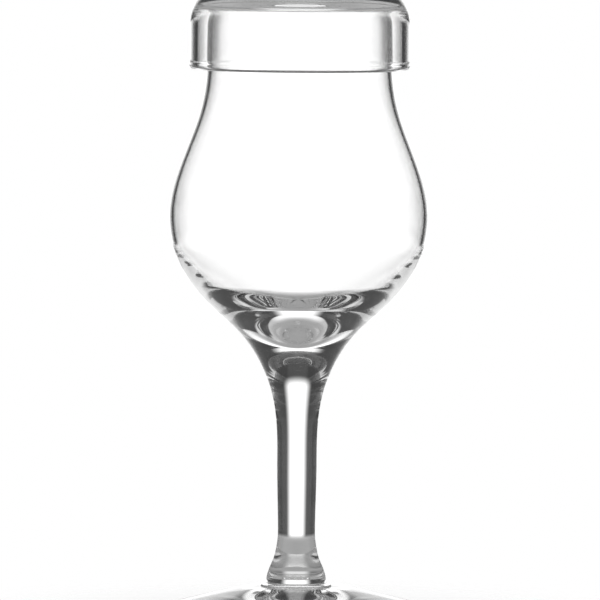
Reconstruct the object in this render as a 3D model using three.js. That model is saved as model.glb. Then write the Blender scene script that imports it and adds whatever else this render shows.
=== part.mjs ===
// A lidded tulip glass for nosing whisky. The bowl, the stem and the foot are three gathers of clear glass,
// fused end to end while hot, and the lid is a loose pressed cap that sits on the rim.
// Millimetres, +Z up, with the origin on the table under the middle of the foot.
import * as THREE from "three";

// Foot: a pressed disc with a shallow cone on top and a hollow underside.
const FOOT_DIAMETER = 65;
const FOOT_HEIGHT = 8.5; // from the table to the flat land that carries the stem
const FOOT_EDGE_RADIUS = 1.95; // the round of the outer edge
const FOOT_LAND_DIAMETER = 25;
const FOOT_LAND_BLEND = 2; // how far the land's edge is eased, each way
const REST_RING_WIDTH = 5; // the flat ring that touches the table
const UNDERSIDE_RISE = 1.2; // how far the underside is hollowed in the middle

// Stem: a solid drawn shaft, thinnest above its collar. Each rise is the height of one stretch, from the foot up,
// and the last stretch takes what is left of the length.
const STEM_LENGTH = 53.7; // from the foot's land to the joint with the bowl
const WELD_OVERHANG = 1.8; // how far the ring squeezed out on the foot stands past the stem
const WELD_HEIGHT = 0.5;
const WELD_NECK_DIAMETER = 14.4;
const WELD_NECK_RISE = 0.4; // from the squeezed ring to the narrow place above it
const COLLAR_DIAMETER = 15.1;
const COLLAR_RISE = 0.95;
const ANKLE_DIAMETER = 10.9;
const ANKLE_RISE = 6.55;
const ANKLE_LEAN = -0.2;
const WAIST_DIAMETER = 9.5;
const WAIST_RISE = 5.05;
const SHAFT_DIAMETER = 10.1;
const SHAFT_RISE = 18.05;

// The fused joint between stem and bowl: both outlines pass through it with the same width and lean.
const JOINT_DIAMETER = 16.1;
const JOINT_LEAN = 0.42;

// Bowl, outside: flare, belly, shoulder, neck and rim, from the joint up.
const FLARE_DIAMETER = 37.5;
const FLARE_RISE = 14.55;
const FLARE_LEAN = 1.21;
const BELLY_DIAMETER = 66;
const BELLY_RISE = 25.75;
const SHOULDER_DIAMETER = 52.7;
const SHOULDER_RISE = 23.3;
const SHOULDER_LEAN = -0.356;
const NECK_DIAMETER = 47.1;
const NECK_RISE = 15.95;
const RIM_DIAMETER = 46.7;
const RIM_RISE = 13.25;

// Bowl, inside: walls are measured level. The drawn stem pulled a dimple into the hollow's rounded floor.
const RIM_WALL = 1.25;
const NECK_WALL = 1.25;
const SHOULDER_WALL = 1.2;
const BELLY_WALL = 1.25;
const SWELL_DROP = 6.1; // from the belly down to where the wall starts to thicken
const SWELL_WALL = 1.3;
const HEEL_HEIGHT = 24.2; // from the joint to where the side turns into the floor
const HEEL_WALL = 2.7;
const HEEL_LEAN = 0.9;
const HEEL_RUN = 3.5; // height over which the side keeps its lean below the heel
const BASE_DEPTH = 13.7; // solid glass from the joint to the hollow's floor, dimple left out
const FLOOR_FLAT = 10.2; // how far the floor runs level from the axis
const DIMPLE_DEPTH = 4;
const DIMPLE_RADIUS = 9.4;

// Lid: a cap whose flat ceiling sits on the rim, with a skirt hanging round the neck.
const SEAT_GAP = 0.3; // ceiling to rim
const SKIRT_CLEARANCE = 2.35; // neck to skirt, all round
const SKIRT_WALL = 2;
const SKIRT_DEPTH = 15.6; // ceiling to lower edge
const BEAD_PROUD = 0.2; // how far the lower edge's bead stands out of the skirt
const CEILING_CORNER = 1.2; // inside corner of skirt and ceiling
const SHOULDER_ROUND = 10; // outside corner of skirt and crown
const CAP_THICKNESS = 6; // ceiling to the top of the outside corner
const CROWN_RISE = 0.6; // how far the crown domes above that corner
const CORNER_TURN = 75; // degrees that the outside corner turns before the crown takes over

// How finely the round forms are divided.
const SEGMENTS = 48;

// How far apart two heights are when an outline's lean is measured.
const LEAN_PROBE = 0.1;

const HALF_TURN = Math.PI;
const QUARTER_TURN = Math.PI / 2;

// A station is one place on an outline. Its lean is the radius gained per millimetre of rise.
const station = (diameter, height, lean = 0) => ({ radius: diameter / 2, height, lean });

const point = (radius, height) => new THREE.Vector2(radius, height);

// The radius at a height between two stations, on the cubic that meets both at their leans.
function radiusBetween(low, high, height) {
  const rise = high.height - low.height;
  const t = (height - low.height) / rise;
  const u = 1 - t;
  const lowPart = u * u * ((1 + 2 * t) * low.radius + t * rise * low.lean);
  const highPart = t * t * ((1 + 2 * u) * high.radius - u * rise * high.lean);
  return lowPart + highPart;
}

// The station that a whole outline passes through at one height.
function stationAt(stations, height) {
  const next = stations.findIndex((place, i) => i > 0 && place.height >= height);
  const low = stations[next - 1];
  const high = stations[next];
  const radius = radiusBetween(low, high, height);
  const lean = (radius - radiusBetween(low, high, height - LEAN_PROBE)) / LEAN_PROBE;
  return { radius, height, lean };
}

// The points of an outline from its first station to its last, with the steps of each stretch given.
function outline(stations, steps) {
  const points = [];
  steps.forEach((count, i) => {
    const low = stations[i];
    const high = stations[i + 1];
    for (let k = 0; k < count; k++) {
      const height = THREE.MathUtils.lerp(low.height, high.height, k / count);
      points.push(point(radiusBetween(low, high, height), height));
    }
  });
  const last = stations[stations.length - 1];
  points.push(point(last.radius, last.height));
  return points;
}

// Points on an arc about a centre in the radius and height plane, with angles counted from straight outwards.
function arc(centre, radius, from, to, steps) {
  return Array.from({ length: steps + 1 }, (_, k) => {
    const angle = THREE.MathUtils.lerp(from, to, k / steps);
    return point(centre.x + radius * Math.cos(angle), centre.y + radius * Math.sin(angle));
  });
}

// A turned solid about the Z axis. Its profile runs from the axis out, up the outside and back to the axis.
function turned(name, profile, material) {
  const geometry = new THREE.LatheGeometry(profile, SEGMENTS);
  geometry.rotateX(QUARTER_TURN);
  const mesh = new THREE.Mesh(geometry, material);
  mesh.name = name;
  return mesh;
}

// Clear, colourless glass. Blown and drawn glass is fire-bright, pressed glass a little less so.
const clearGlass = (roughness) =>
  new THREE.MeshStandardMaterial({
    color: 0xf6faf9,
    roughness,
    metalness: 0,
    transparent: true,
    opacity: 0.35,
  });

function makeFoot() {
  const edge = point(FOOT_DIAMETER / 2 - FOOT_EDGE_RADIUS, FOOT_EDGE_RADIUS);
  const landEdge = point(FOOT_LAND_DIAMETER / 2, FOOT_HEIGHT);

  // The cone is the straight line from the land's edge that just touches the round of the outer edge.
  const reach = landEdge.clone().sub(edge);
  const coneStart = reach.angle() - Math.acos(FOOT_EDGE_RADIUS / reach.length());
  const round = arc(edge, FOOT_EDGE_RADIUS, -QUARTER_TURN, coneStart, 8);
  const coneFoot = round[round.length - 1];
  const coneEnd = landEdge.clone().lerp(coneFoot, FOOT_LAND_BLEND / landEdge.distanceTo(coneFoot));
  const landEnd = point(landEdge.x - FOOT_LAND_BLEND, FOOT_HEIGHT);
  const blend = new THREE.QuadraticBezierCurve(coneEnd, landEdge, landEnd).getPoints(4);

  const ringInside = point(edge.x - REST_RING_WIDTH, 0);
  const hollow = new THREE.QuadraticBezierCurve(
    point(0, UNDERSIDE_RISE),
    point(ringInside.x / 2, UNDERSIDE_RISE),
    ringInside,
  ).getPoints(6);

  return turned("foot", [...hollow, ...round, ...blend, point(0, FOOT_HEIGHT)], clearGlass(0.06));
}

// The stem's stations, counted up from its own foot end.
function stemStations() {
  const weldNeck = WELD_HEIGHT + WELD_NECK_RISE;
  const collar = weldNeck + COLLAR_RISE;
  const ankle = collar + ANKLE_RISE;
  const waist = ankle + WAIST_RISE;
  const shaft = waist + SHAFT_RISE;
  return [
    station(WELD_NECK_DIAMETER, weldNeck),
    station(COLLAR_DIAMETER, collar),
    station(ANKLE_DIAMETER, ankle, ANKLE_LEAN),
    station(WAIST_DIAMETER, waist),
    station(SHAFT_DIAMETER, shaft),
    station(JOINT_DIAMETER, STEM_LENGTH, JOINT_LEAN),
  ];
}

function makeStem() {
  const ringRadius = WELD_HEIGHT / 2;
  const ringCentre = point(WELD_NECK_DIAMETER / 2 + WELD_OVERHANG - ringRadius, ringRadius);
  const ring = arc(ringCentre, ringRadius, -QUARTER_TURN, QUARTER_TURN, 4);
  const side = outline(stemStations(), [2, 5, 3, 4, 6]);
  return turned("stem", [point(0, 0), ...ring, ...side, point(0, STEM_LENGTH)], clearGlass(0.02));
}

// The bowl's outer stations, counted up from the joint. The last one is where the lip's round begins.
function bowlStations() {
  const flare = FLARE_RISE;
  const belly = flare + BELLY_RISE;
  const shoulder = belly + SHOULDER_RISE;
  const neck = shoulder + NECK_RISE;
  const lip = neck + RIM_RISE - RIM_WALL / 2;
  return [
    station(JOINT_DIAMETER, 0, JOINT_LEAN),
    station(FLARE_DIAMETER, flare, FLARE_LEAN),
    station(BELLY_DIAMETER, belly),
    station(SHOULDER_DIAMETER, shoulder, SHOULDER_LEAN),
    station(NECK_DIAMETER, neck),
    station(RIM_DIAMETER, lip),
  ];
}

// The hollow's stations, from its heel up. Each keeps its wall to the outside at the same height.
function hollowStations(outside) {
  const [, , belly, shoulder, neck, lip] = outside;
  const inset = (place, wall) => ({ ...place, radius: place.radius - wall });
  const heel = { ...stationAt(outside, HEEL_HEIGHT), lean: HEEL_LEAN };
  const swell = stationAt(outside, belly.height - SWELL_DROP);
  return [
    inset(heel, HEEL_WALL),
    inset(swell, SWELL_WALL),
    inset(belly, BELLY_WALL),
    inset(shoulder, SHOULDER_WALL),
    inset(neck, NECK_WALL),
    inset(lip, RIM_WALL),
  ];
}

// The hollow's floor from the axis to its heel: a rounded bowl with a bell-shaped dimple in the middle.
function hollowFloor(heel) {
  const curve = new THREE.CubicBezierCurve(
    point(0, BASE_DEPTH),
    point(FLOOR_FLAT, BASE_DEPTH),
    point(heel.radius - HEEL_RUN * heel.lean, heel.height - HEEL_RUN),
    point(heel.radius, heel.height),
  );
  const dip = (radius) => DIMPLE_DEPTH * Math.exp(-((radius / DIMPLE_RADIUS) ** 2));
  return curve.getPoints(14).map((p) => point(p.x, p.y - dip(p.x)));
}

function makeBowl() {
  const outside = bowlStations();
  const hollow = hollowStations(outside);
  const lip = outside[outside.length - 1];
  const lipCentre = point(lip.radius - RIM_WALL / 2, lip.height);
  const lipRound = arc(lipCentre, RIM_WALL / 2, 0, HALF_TURN, 6).slice(1, -1);
  const side = outline(outside, [5, 7, 6, 5, 2]);
  const inside = [...hollowFloor(hollow[0]).slice(0, -1), ...outline(hollow, [3, 3, 6, 5, 2])];
  return turned("bowl", [point(0, 0), ...side, ...lipRound, ...inside.reverse()], clearGlass(0.02));
}

// The lid's profile is counted from its ceiling, where it sits on the rim.
function makeLid() {
  const skirtInside = NECK_DIAMETER / 2 + SKIRT_CLEARANCE;
  const skirtOutside = skirtInside + SKIRT_WALL;
  const beadRadius = (SKIRT_WALL + BEAD_PROUD) / 2;
  const beadCentre = point(skirtInside + beadRadius, beadRadius - SKIRT_DEPTH);
  const beadEnd = 2 * HALF_TURN + Math.acos((skirtOutside - beadCentre.x) / beadRadius);
  const bead = arc(beadCentre, beadRadius, HALF_TURN, beadEnd, 8);

  const ceilingCentre = point(skirtInside - CEILING_CORNER, -CEILING_CORNER);
  const ceilingCorner = arc(ceilingCentre, CEILING_CORNER, QUARTER_TURN, 0, 4);
  const shoulderCentre = point(skirtOutside - SHOULDER_ROUND, CAP_THICKNESS - SHOULDER_ROUND);
  const turn = THREE.MathUtils.degToRad(CORNER_TURN);
  const shoulder = arc(shoulderCentre, SHOULDER_ROUND, 0, turn, 6);

  // The crown leaves the shoulder along its tangent and crosses the axis level.
  const crownStart = shoulder[shoulder.length - 1];
  const crownHeight = CAP_THICKNESS + CROWN_RISE;
  const crownPull = crownStart.x - (crownHeight - crownStart.y) * Math.tan(turn);
  const crown = new THREE.QuadraticBezierCurve(
    crownStart,
    point(crownPull, crownHeight),
    point(0, crownHeight),
  ).getPoints(6);

  const profile = [point(0, 0), ...ceilingCorner, ...bead, ...shoulder, ...crown.slice(1)];
  return turned("lid", profile, clearGlass(0.04));
}

const foot = makeFoot();

const stem = makeStem();
stem.position.z = FOOT_HEIGHT;

const bowl = makeBowl();
bowl.position.z = FOOT_HEIGHT + STEM_LENGTH;

const goblet = new THREE.Group();
goblet.name = "goblet";
goblet.add(foot, stem, bowl);

const rimHeight = bowl.position.z + FLARE_RISE + BELLY_RISE + SHOULDER_RISE + NECK_RISE + RIM_RISE;
const lid = makeLid();
lid.position.z = rimHeight + SEAT_GAP;

const whiskyGlass = new THREE.Group();
whiskyGlass.name = "whisky_glass";
whiskyGlass.add(goblet, lid);

export default whiskyGlass;
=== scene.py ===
# %% [markdown]
# # A lidded whisky glass
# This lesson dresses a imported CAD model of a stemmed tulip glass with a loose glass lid. The glass is all
# clear, so its looks come from three things: exact outlines, a true glass shader, and a studio that is bright
# behind the glass and dark beside it. The frame gives the pieces at their real size, and nothing is moved.

# %% Load the frame
import math

import bmesh
import bpy
from mathutils import Matrix, Vector
from mathutils.geometry import interpolate_bezier


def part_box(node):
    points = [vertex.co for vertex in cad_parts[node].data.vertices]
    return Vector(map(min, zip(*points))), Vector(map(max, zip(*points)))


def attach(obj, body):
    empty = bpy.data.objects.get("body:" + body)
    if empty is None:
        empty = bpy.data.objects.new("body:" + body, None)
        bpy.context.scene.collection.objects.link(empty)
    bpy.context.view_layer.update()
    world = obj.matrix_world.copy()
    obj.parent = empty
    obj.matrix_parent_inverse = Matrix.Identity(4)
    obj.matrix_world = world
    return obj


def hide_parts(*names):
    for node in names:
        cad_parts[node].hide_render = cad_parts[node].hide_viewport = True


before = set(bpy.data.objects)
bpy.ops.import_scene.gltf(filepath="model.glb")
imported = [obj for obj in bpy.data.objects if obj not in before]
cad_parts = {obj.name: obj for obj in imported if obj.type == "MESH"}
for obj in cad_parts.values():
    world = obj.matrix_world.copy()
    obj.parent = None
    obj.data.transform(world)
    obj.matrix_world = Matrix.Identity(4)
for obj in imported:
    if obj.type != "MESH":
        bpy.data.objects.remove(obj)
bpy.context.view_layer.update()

# %% [markdown]
# ## Outlines
# Every piece of this glass is round about one upright axis, so each is one outline turned about that axis.
# A traced outline would need dozens of points. Instead, a few stations hold what a glass maker would measure:
# how wide the glass is at a height, and how much it leans there. A cubic runs between two stations and meets
# both at their leans, which is how hot glass flows from one width to the next.

# %% Stations, curves and arcs
MM = 0.001  # the sizes below are written in millimetres, and Blender works in metres
SPACING = 0.6 * MM
FEWEST_STEPS = 3


def station(diameter, height, lean=0.0):
    """A place on an outline: its radius and height, and the radius gained per unit of rise there."""
    return (diameter / 2, height, lean)


def radius_between(low, high, height):
    """The radius at a height between two stations."""
    rise = high[1] - low[1]
    t = (height - low[1]) / rise
    u = 1 - t
    low_part = u * u * ((1 + 2 * t) * low[0] + t * rise * low[2])
    high_part = t * t * ((1 + 2 * u) * high[0] - u * rise * high[2])
    return low_part + high_part


def outline(stations):
    """Points from the first station to the last, about SPACING of height apart."""
    points = []
    for low, high in zip(stations, stations[1:]):
        steps = max(FEWEST_STEPS, round((high[1] - low[1]) / SPACING))
        for k in range(steps):
            height = low[1] + (high[1] - low[1]) * k / steps
            points.append((radius_between(low, high, height), height))
    points.append(stations[-1][:2])
    return points


def arc(centre, radius, start, end, steps):
    """Points on an arc, with its angles in degrees counted from straight outwards."""
    angles = [math.radians(start + (end - start) * k / steps) for k in range(steps + 1)]
    return [(centre[0] + radius * math.cos(a), centre[1] + radius * math.sin(a)) for a in angles]


def bend(start, start_pull, end_pull, end, steps):
    """Points on a cubic curve that leaves start towards start_pull and reaches end from end_pull."""
    knots = [Vector((r, z, 0)) for r, z in (start, start_pull, end_pull, end)]
    return [(p.x, p.y) for p in interpolate_bezier(*knots, steps + 1)]


def eased(start, corner, end, steps):
    """Points on a curve that rounds off a corner between two straight runs."""
    pull = 2 / 3  # the share of the way to the corner that makes the curve a parabola
    start_pull = tuple(a + pull * (c - a) for a, c in zip(start, corner))
    end_pull = tuple(b + pull * (c - b) for b, c in zip(end, corner))
    return bend(start, start_pull, end_pull, end, steps)


sample = outline([station(9.5 * MM, 0), station(10.1 * MM, 18 * MM)])
print("an outline of two stations:", len(sample), "points")

# %% [markdown]
# ## The foot's outline
# The foot is a pressed disc. Its top is a shallow cone with a flat land that carries the stem, its edge is
# round, and its underside is hollowed so that only a ring touches the table. The widths and heights that the
# frame already knows are taken from it, and the cone is the straight line that just touches the round edge.

# %% Foot
FOOT_EDGE_RADIUS = 1.95 * MM
FOOT_LAND_RADIUS = 12.5 * MM
FOOT_LAND_BLEND = 2 * MM
REST_RING_WIDTH = 5 * MM
UNDERSIDE_RISE = 1.2 * MM
UNDERSIDE_STEPS = 24
EDGE_STEPS = 20
CONE_STEPS = 12
LAND_STEPS = 10

foot_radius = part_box("foot")[1].x
foot_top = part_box("stem")[0].z


def foot_outline():
    edge = (foot_radius - FOOT_EDGE_RADIUS, FOOT_EDGE_RADIUS)
    land_edge = (FOOT_LAND_RADIUS, foot_top)
    run, rise = land_edge[0] - edge[0], land_edge[1] - edge[1]
    cone_start = math.atan2(rise, run) - math.acos(FOOT_EDGE_RADIUS / math.hypot(run, rise))
    edge_round = arc(edge, FOOT_EDGE_RADIUS, -90, math.degrees(cone_start), EDGE_STEPS)
    cone_foot = edge_round[-1]
    blend_share = FOOT_LAND_BLEND / math.dist(land_edge, cone_foot)
    cone_end = tuple(top + blend_share * (foot - top) for top, foot in zip(land_edge, cone_foot))
    shares = [k / CONE_STEPS for k in range(1, CONE_STEPS)]
    cone = [tuple(a + (b - a) * share for a, b in zip(cone_foot, cone_end)) for share in shares]
    land_end = (FOOT_LAND_RADIUS - FOOT_LAND_BLEND, foot_top)
    land_round = eased(cone_end, land_edge, land_end, LAND_STEPS)
    ring_inside = (edge[0] - REST_RING_WIDTH, 0)
    middle = (0, UNDERSIDE_RISE)
    underside = eased(middle, (ring_inside[0] / 2, UNDERSIDE_RISE), ring_inside, UNDERSIDE_STEPS)
    return underside + edge_round + cone + land_round


print("foot outline:", len(foot_outline()), "points, top at", round(foot_top / MM, 2), "mm")

# %% [markdown]
# ## The stem's outline
# The stem is drawn from a hot gather. Where it was pressed on to the foot, a thin ring squeezed out, and
# above it stands a rounded collar. The stem is thinnest a little higher, at the waist, and swells again
# towards the bowl. The stations below are those places, counted up from the foot.

# %% Stem
WELD_OVERHANG = 1.8 * MM
WELD_HEIGHT = 0.5 * MM
WELD_STEPS = 6
WELD_NECK = station(14.4 * MM, 0.9 * MM)
COLLAR = station(15.1 * MM, 1.85 * MM)
ANKLE = station(10.9 * MM, 8.4 * MM, -0.2)
WAIST = station(9.5 * MM, 13.45 * MM)
SHAFT = station(10.1 * MM, 31.5 * MM)
JOINT_DIAMETER = 16.1 * MM
JOINT_LEAN = 0.42

joint_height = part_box("bowl")[0].z


def raised(place, by):
    return (place[0], place[1] + by, place[2])


def stem_outline():
    ring_round = WELD_HEIGHT / 2
    ring_centre = (WELD_NECK[0] + WELD_OVERHANG - ring_round, foot_top + ring_round)
    ring_foot = (ring_centre[0] + ring_round, foot_top)
    ring = [ring_foot] + arc(ring_centre, ring_round, 0, 90, WELD_STEPS)
    places = [raised(place, foot_top) for place in (WELD_NECK, COLLAR, ANKLE, WAIST, SHAFT)]
    return ring + outline(places + [station(JOINT_DIAMETER, joint_height, JOINT_LEAN)])


print("stem outline:", len(stem_outline()), "points up to", round(joint_height / MM, 2), "mm")

# %% [markdown]
# ## The bowl's outline
# The bowl is blown. Outside, it flares from the stem to the belly, draws in over the shoulder to a nearly
# straight neck, and ends in a fire-rounded lip. Inside, the wall is little more than a millimetre thick at
# the belly and grows to a heavy base. The stem was drawn out of the hot base, which pulled a dimple into the
# hollow's floor. That thick, dimpled base bends light strongly, so its shape makes the dark marks and bright
# arcs that are seen above the stem. A bell curve describes the dimple with two sizes.

# %% Bowl
FLARE = station(37.5 * MM, 14.55 * MM, 1.21)
BELLY_RISE = 40.3 * MM
SHOULDER = station(52.7 * MM, 63.6 * MM, -0.356)
NECK = station(47.1 * MM, 79.55 * MM)
RIM_DIAMETER = 46.7 * MM
RIM_WALL = 1.25 * MM
NECK_WALL = 1.25 * MM
SHOULDER_WALL = 1.2 * MM
BELLY_WALL = 1.25 * MM
SWELL_DROP = 6.1 * MM
SWELL_WALL = 1.3 * MM
HEEL_HEIGHT = 24.2 * MM
HEEL_WALL = 2.7 * MM
HEEL_LEAN = 0.9
HEEL_RUN = 3.5 * MM
BASE_DEPTH = 13.7 * MM
FLOOR_FLAT = 10.2 * MM
DIMPLE_DEPTH = 4 * MM
DIMPLE_RADIUS = 9.4 * MM
LEAN_PROBE = 0.1 * MM  # the rise over which a lean is measured
FLOOR_STEPS = 48
LIP_STEPS = 16

belly_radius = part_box("bowl")[1].x
rim_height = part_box("bowl")[1].z


def bowl_places():
    belly = station(2 * belly_radius, BELLY_RISE)
    places = [raised(place, joint_height) for place in (FLARE, belly, SHOULDER, NECK)]
    joint = station(JOINT_DIAMETER, joint_height, JOINT_LEAN)
    return [joint] + places + [station(RIM_DIAMETER, rim_height - RIM_WALL / 2)]


def inset(place, wall):
    return (place[0] - wall, place[1], place[2])


def place_between(low, high, height):
    """The station that the curve between two stations passes through at a height."""
    radius = radius_between(low, high, height)
    lean = (radius - radius_between(low, high, height - LEAN_PROBE)) / LEAN_PROBE
    return (radius, height, lean)


def hollow_places(outside):
    flare, belly, shoulder, neck, lip = outside[1:]
    heel = place_between(flare, belly, joint_height + HEEL_HEIGHT)[:2] + (HEEL_LEAN,)
    swell = place_between(flare, belly, belly[1] - SWELL_DROP)
    walls = (HEEL_WALL, SWELL_WALL, BELLY_WALL, SHOULDER_WALL, NECK_WALL, RIM_WALL)
    return [inset(place, wall) for place, wall in zip((heel, swell, belly, shoulder, neck, lip), walls)]


def hollow_floor(heel):
    radius, height, lean = heel
    floor = joint_height + BASE_DEPTH
    side_pull = (radius - HEEL_RUN * lean, height - HEEL_RUN)
    points = bend((0, floor), (FLOOR_FLAT, floor), side_pull, (radius, height), FLOOR_STEPS)
    return [(r, z - DIMPLE_DEPTH * math.exp(-((r / DIMPLE_RADIUS) ** 2))) for r, z in points]


def bowl_outline():
    outside = bowl_places()
    hollow = hollow_places(outside)
    lip = outside[-1]
    lip_round = arc((lip[0] - RIM_WALL / 2, lip[1]), RIM_WALL / 2, 0, 180, LIP_STEPS)[1:-1]
    inside = hollow_floor(hollow[0])[:-1] + outline(hollow)
    return outline(outside) + lip_round + inside[::-1]


print("bowl outline:", len(bowl_outline()), "points, rim at", round(rim_height / MM, 2), "mm")

# %% [markdown]
# ## Turning an outline into a solid
# Blender's spin tool turns an outline about an axis. The points on the axis are then merged into one, and
# the faces are turned outwards. Bowl, stem and foot are fused on the real glass, with no gap that light could
# see. So they are one outline here and one closed mesh: three meshes that only touch would show mirrors
# inside the glass where it is solid. Straight runs are divided first: a smooth face takes its shading from
# its neighbours too, and on one long face beside a bend that would act like a lens.

# %% Turn the goblet
TURN_STEPS = 192
LONGEST_EDGE = 0.6 * MM
MERGE_DISTANCE = 0.001 * MM
MILLILITRE = 1000 * MM ** 3


def divided(profile):
    """The profile with points added, so that none of its edges is longer than LONGEST_EDGE."""
    points = [profile[0]]
    for start, end in zip(profile, profile[1:]):
        pieces = math.ceil(math.dist(start, end) / LONGEST_EDGE)
        for k in range(1, pieces + 1):
            points.append(tuple(a + (b - a) * k / pieces for a, b in zip(start, end)))
    return points


def turned(name, profile):
    """A closed smooth mesh: the profile, from the axis out and back to the axis, turned about Z."""
    shape = bmesh.new()
    verts = [shape.verts.new((r, 0, z)) for r, z in divided(profile)]
    edges = [shape.edges.new(pair) for pair in zip(verts, verts[1:])]
    bmesh.ops.spin(
        shape,
        geom=verts + edges,
        cent=(0, 0, 0),
        axis=(0, 0, 1),
        angle=math.tau,
        steps=TURN_STEPS,
        use_merge=True,
    )
    bmesh.ops.remove_doubles(shape, verts=shape.verts, dist=MERGE_DISTANCE)
    bmesh.ops.recalc_face_normals(shape, faces=shape.faces)
    for face in shape.faces:
        face.smooth = True
    open_edges = [edge for edge in shape.edges if not edge.is_manifold]
    volume = shape.calc_volume(signed=True) / MILLILITRE
    print(name, len(shape.faces), "faces,", len(open_edges), "open edges,", round(volume, 2), "ml of glass")
    mesh = bpy.data.meshes.new(name)
    shape.to_mesh(mesh)
    shape.free()
    piece = bpy.data.objects.new(name, mesh)
    bpy.context.scene.collection.objects.link(piece)
    return piece


goblet = turned("goblet", foot_outline()[:-1] + stem_outline() + bowl_outline()[1:])
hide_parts("bowl", "stem", "foot")
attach(goblet, "goblet")

# %% [markdown]
# ## The lid
# The lid is a pressed cap. Its flat ceiling sits on the rim, a skirt hangs round the neck with room to lift,
# and a small bead closes the skirt's lower edge. The thick top has a rounded shoulder and a low crown. It is
# a closed outline of its own, and it rides on the body that lifts.

# %% Lid
SKIRT_INSIDE = 25.9 * MM
SKIRT_WALL = 2 * MM
BEAD_PROUD = 0.2 * MM
CEILING_CORNER = 1.2 * MM
SHOULDER_ROUND = 10 * MM
CAP_THICKNESS = 6 * MM
CROWN_RISE = 0.6 * MM
CORNER_TURN = 75  # degrees that the shoulder turns before the crown takes over
BEAD_STEPS = 20
CORNER_STEPS = 12
SHOULDER_STEPS = 20
CROWN_STEPS = 30

lid_low, lid_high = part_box("lid")
ceiling_height = lid_high.z - CAP_THICKNESS - CROWN_RISE


def lid_outline():
    skirt_outside = SKIRT_INSIDE + SKIRT_WALL
    bead_round = (SKIRT_WALL + BEAD_PROUD) / 2
    bead_centre = (SKIRT_INSIDE + bead_round, lid_low.z + bead_round)
    bead_end = 360 + math.degrees(math.acos((skirt_outside - bead_centre[0]) / bead_round))
    bead = arc(bead_centre, bead_round, 180, bead_end, BEAD_STEPS)
    corner_centre = (SKIRT_INSIDE - CEILING_CORNER, ceiling_height - CEILING_CORNER)
    ceiling_corner = arc(corner_centre, CEILING_CORNER, 90, 0, CORNER_STEPS)
    shoulder_height = ceiling_height + CAP_THICKNESS - SHOULDER_ROUND
    shoulder_centre = (skirt_outside - SHOULDER_ROUND, shoulder_height)
    shoulder = arc(shoulder_centre, SHOULDER_ROUND, 0, CORNER_TURN, SHOULDER_STEPS)
    start = shoulder[-1]
    pull = start[0] - (lid_high.z - start[1]) * math.tan(math.radians(CORNER_TURN))
    crown = eased(start, (pull, lid_high.z), (0, lid_high.z), CROWN_STEPS)
    return [(0, ceiling_height)] + ceiling_corner + bead + shoulder + crown[1:]


lid = turned("lid_cap", lid_outline())
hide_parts("lid")
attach(lid, "lid")

# %% [markdown]
# ## Glass
# Clear glass is one Principled shader with full transmission and the refractive index of soda-lime glass.
# Colour can't make it look real, but small unevenness can: blown glass is never quite flat, so a broad, very
# shallow noise bends its surface by a few microns, and pressed glass keeps a little of the mould's roughness.

# %% Glass materials
GLASS_INDEX = 1.52
HAZE_STARTS = 0.4  # the noise level up to which the glass has no haze
HAZE_FULL = 0.7  # the noise level from which it has all of it


def clear_glass(name, wave_size, wave_height, haze):
    """Clear glass with shallow waves of a size and height, and a roughness that comes and goes up to haze."""
    material = bpy.data.materials.new(name)
    material.use_nodes = True
    nodes, links = material.node_tree.nodes, material.node_tree.links
    shader = nodes["Principled BSDF"]
    shader.inputs["Base Color"].default_value = (1, 1, 1, 1)
    shader.inputs["IOR"].default_value = GLASS_INDEX
    shader.inputs["Transmission Weight"].default_value = 1
    place = nodes.new("ShaderNodeTexCoord")
    waves = nodes.new("ShaderNodeTexNoise")
    waves.inputs["Scale"].default_value = 1 / wave_size
    waves.inputs["Detail"].default_value = 1
    links.new(place.outputs["Object"], waves.inputs["Vector"])
    bump = nodes.new("ShaderNodeBump")
    bump.inputs["Strength"].default_value = 1
    bump.inputs["Distance"].default_value = wave_height
    links.new(waves.outputs["Fac"], bump.inputs["Height"])
    links.new(bump.outputs["Normal"], shader.inputs["Normal"])
    cloud = nodes.new("ShaderNodeMapRange")
    cloud.inputs["From Min"].default_value = HAZE_STARTS
    cloud.inputs["From Max"].default_value = HAZE_FULL
    cloud.inputs["To Max"].default_value = haze
    links.new(waves.outputs["Fac"], cloud.inputs["Value"])
    links.new(cloud.outputs["Result"], shader.inputs["Roughness"])
    return material


blown_glass = clear_glass("blown_glass", wave_size=30 * MM, wave_height=0.004 * MM, haze=0.004)
pressed_glass = clear_glass("pressed_glass", wave_size=18 * MM, wave_height=0.004 * MM, haze=0.01)
goblet.data.materials.append(blown_glass)
lid.data.materials.append(pressed_glass)
print("glass materials:", blown_glass.name, "and", pressed_glass.name)

# %% [markdown]
# ## Light that goes deep into glass
# In the heavy base a ray is mirrored many times before it gets out, and each of these counts as a bounce.
# Blender stops after a few and leaves black there, so the limits are raised for this object.

# %% Bounces
DEEP_GLASS_BOUNCES = 48
scene = bpy.context.scene
scene.view_settings.view_transform = "Standard"
scene.cycles.max_bounces = DEEP_GLASS_BOUNCES
scene.cycles.glossy_bounces = DEEP_GLASS_BOUNCES
scene.cycles.transmission_bounces = DEEP_GLASS_BOUNCES
print("bounces:", scene.cycles.max_bounces)

# %% [markdown]
# ## The studio
# Glass on white is lit from behind. A white panel behind the glass fills the bowl with white, and the dark
# room beside the panel draws the edges, because the edge of a glass looks far to the side. The world is
# written that way, by direction: plain white for the camera and the floor, and panel, room and table for rays
# that the glass has bent or mirrored. Each list below holds levels of light by an angle in degrees: round
# the glass from straight behind it to the front, up from the horizon, or down from it.

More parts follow.
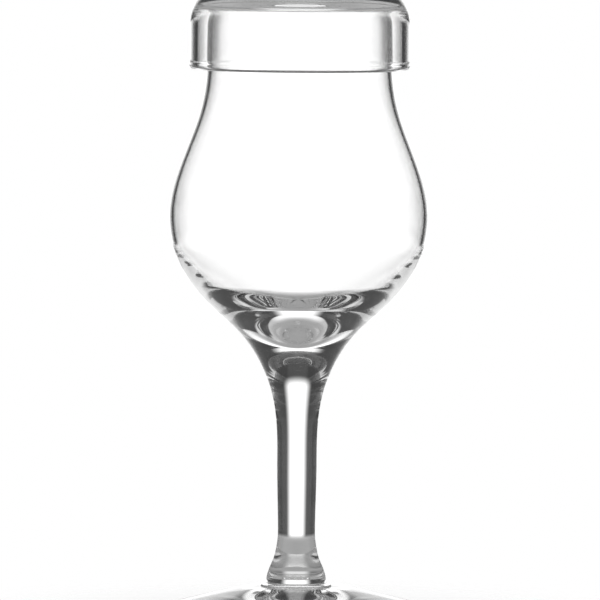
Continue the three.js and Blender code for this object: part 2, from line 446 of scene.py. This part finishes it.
# %% Studio world
LEVELS_AROUND = [(0, 1.4), (9, 1.4), (24, 0.05), (86, 0.05), (106, 0.78), (130, 0.65), (180, 0.3)]
SHARES_UP = [(0, 1), (18, 1), (27, 0.05), (90, 0.05)]
CEILING_LEVEL = 0.04
TABLE_AROUND = [(0, 1.25), (18, 1.1), (38, 0.56), (180, 0.56)]
FAR_TABLE_AROUND = [(0, 0), (78, 0), (88, 0.56), (180, 0.56)]
FAR_TABLE_SHARES_UP = [(0, 1), (1.5, 0), (90, 0)]
TABLE_SHARES_DOWN = [(0, 0), (9, 0), (13, 1), (90, 1)]


def add(tree, kind, **sockets):
    """A new node of a kind, with some of its inputs set by name to values or linked to sockets."""
    node = tree.nodes.new("ShaderNode" + kind)
    for name, value in sockets.items():
        connect(tree, node.inputs[name], value)
    return node


def connect(tree, socket, value):
    if isinstance(value, bpy.types.NodeSocket):
        tree.links.new(value, socket)
    else:
        socket.default_value = value


def calc(tree, operation, first, second=0.0):
    """The outcome of a Math node for two numbers or sockets."""
    node = add(tree, "Math")
    node.operation = operation
    connect(tree, node.inputs[0], first)
    connect(tree, node.inputs[1], second)
    return node.outputs["Value"]


def ramp(tree, value, stops):
    """A level that eases from stop to stop, where each stop is a value and the level there."""
    reach = stops[-1][0]
    node = add(tree, "ValToRGB", Fac=calc(tree, "DIVIDE", value, reach))
    node.color_ramp.interpolation = "EASE"
    marks = node.color_ramp.elements
    marks[0].position, marks[1].position = 0, 1
    for place, _ in stops[1:-1]:
        marks.new(place / reach)
    for mark, (_, level) in zip(marks, stops):
        mark.color = (level, level, level, 1)
    return node.outputs["Color"]


def blend(tree, share, first, second):
    """The level between two levels: the first where the share is 0, and the second where it is 1."""
    first_part = calc(tree, "MULTIPLY", calc(tree, "SUBTRACT", 1, share), first)
    second_part = calc(tree, "MULTIPLY", share, second)
    return calc(tree, "ADD", first_part, second_part)


def bent_rays(tree):
    """1 for rays that the glass has bent or mirrored, and 0 for the others."""
    path = add(tree, "LightPath")
    return calc(tree, "MAXIMUM", path.outputs["Is Glossy Ray"], path.outputs["Is Transmission Ray"])


world = bpy.data.worlds.new("studio")
scene.world = world
world.use_nodes = True
tree = world.node_tree
tree.nodes.clear()
direction = add(tree, "SeparateXYZ", Vector=add(tree, "TexCoord").outputs["Generated"])
turn = calc(tree, "ARCTAN2", direction.outputs["X"], direction.outputs["Y"])
around = calc(tree, "DEGREES", calc(tree, "ABSOLUTE", turn))
upward = calc(tree, "DEGREES", calc(tree, "ARCSINE", direction.outputs["Z"]))
panels = calc(tree, "MULTIPLY", ramp(tree, around, LEVELS_AROUND), ramp(tree, upward, SHARES_UP))
downward = calc(tree, "MULTIPLY", upward, -1)
far_share = ramp(tree, upward, FAR_TABLE_SHARES_UP)
far_table = calc(tree, "MULTIPLY", ramp(tree, around, FAR_TABLE_AROUND), far_share)
walls = calc(tree, "MAXIMUM", calc(tree, "MAXIMUM", panels, far_table), CEILING_LEVEL)
table_share = ramp(tree, downward, TABLE_SHARES_DOWN)
studio = blend(tree, table_share, walls, ramp(tree, around, TABLE_AROUND))
light = blend(tree, bent_rays(tree), 1, studio)
background = add(tree, "Background", Color=(1, 1, 1, 1), Strength=light)
add(tree, "OutputWorld", Surface=background.outputs["Background"])
print("studio world:", len(tree.nodes), "nodes")

# %% [markdown]
# ## The floor
# The glass stands on a pale floor that keeps its soft shadow. The floor is a disc that turns clear towards
# its edge, so it passes into the white background without a line. Close about the foot, rays that the glass
# has bent see no lit floor but an even grey glow, a painted shade that stands for the table there, dimmer
# than the panel.

# %% Floor
FLOOR_RADIUS = 200 * MM
FLOOR_SEGMENTS = 96
FLOOR_DROP = 0.3 * MM
CLEAR_OUTWARD = [(0, 0), (30 * MM, 0), (110 * MM, 1), (FLOOR_RADIUS, 1)]
# The painted shade near the foot: where its even grey glow fades to clear, and its level.
PAINTED_SHADE_CLEAR_OUTWARD = [(0, 0), (70 * MM, 0), (FLOOR_RADIUS, 1)]
PAINTED_SHADE_LEVEL = 0.36


def mixed(tree, share, first, second):
    """The blend of two shaders: the first where the share is 0, and the second where it is 1."""
    node = add(tree, "MixShader", Fac=share)
    tree.links.new(first, node.inputs[1])
    tree.links.new(second, node.inputs[2])
    return node.outputs["Shader"]


floor_shape = bmesh.new()
bmesh.ops.create_circle(floor_shape, cap_ends=True, radius=FLOOR_RADIUS, segments=FLOOR_SEGMENTS)
floor_mesh = bpy.data.meshes.new("floor")
floor_shape.to_mesh(floor_mesh)
floor_shape.free()
floor = bpy.data.objects.new("floor", floor_mesh)
floor.location.z = -FLOOR_DROP
scene.collection.objects.link(floor)

floor_white_with_painted_shade = bpy.data.materials.new("floor_white_with_painted_shade")
floor_white_with_painted_shade.use_nodes = True
tree = floor_white_with_painted_shade.node_tree
tree.nodes.clear()
reach = add(tree, "VectorMath")
reach.operation = "LENGTH"
tree.links.new(add(tree, "NewGeometry").outputs["Position"], reach.inputs[0])
matt = add(tree, "BsdfDiffuse", Color=(1, 1, 1, 1))
# Painted shade: an even grey glow, not lit by anything, that bent rays see on the floor near the foot.
painted_shade_glow = add(tree, "Emission", Strength=PAINTED_SHADE_LEVEL)
clear = add(tree, "BsdfTransparent")
distance = reach.outputs["Value"]
plain = mixed(tree, ramp(tree, distance, CLEAR_OUTWARD), matt.outputs["BSDF"], clear.outputs["BSDF"])
painted_shade_fade = ramp(tree, distance, PAINTED_SHADE_CLEAR_OUTWARD)
through_glass = mixed(tree, painted_shade_fade, painted_shade_glow.outputs["Emission"], clear.outputs["BSDF"])
add(tree, "OutputMaterial", Surface=mixed(tree, bent_rays(tree), plain, through_glass))
floor_mesh.materials.append(floor_white_with_painted_shade)
print("floor disc:", round(FLOOR_RADIUS / MM), "mm in radius")

# %% [markdown]
# ## The camera
# The photograph was taken from about two metres away with a long lens, a little above the lid, and it is
# turned by a fraction of a degree. The foot's ring shows more of its top than the lid's skirt does, and that
# gives the distance. The photograph cuts off the lid's crown and the lower half of the foot. The camera looks
# at the middle of the glass from that angle, with the lens that gives the photograph's scale.

# %% Camera
CAMERA_DISTANCE = 1.8  # metres
CAMERA_ELEVATION = 3.65  # degrees above level
CAMERA_ROLL = 0.41  # degrees
AIM_HEIGHT = 81.3 * MM
LENS = 425.9  # Blender takes a lens in millimetres
SIDE_SHIFT = 0.0032  # as a share of the picture's width

camera_data = bpy.data.cameras.new("camera")
camera_data.lens = LENS
camera_data.shift_x = SIDE_SHIFT
camera = bpy.data.objects.new("camera", camera_data)
scene.collection.objects.link(camera)
aim = Vector((0, 0, AIM_HEIGHT))
elevation = math.radians(CAMERA_ELEVATION)
camera_place = aim + CAMERA_DISTANCE * Vector((0, -math.cos(elevation), math.sin(elevation)))
facing = (aim - camera_place).to_track_quat("-Z", "Y").to_matrix().to_4x4()
roll = Matrix.Rotation(math.radians(CAMERA_ROLL), 4, "Z")
camera.matrix_world = Matrix.Translation(camera_place) @ facing @ roll
scene.camera = camera
print("camera at", [round(value, 3) for value in camera.location], "lens", LENS, "mm")
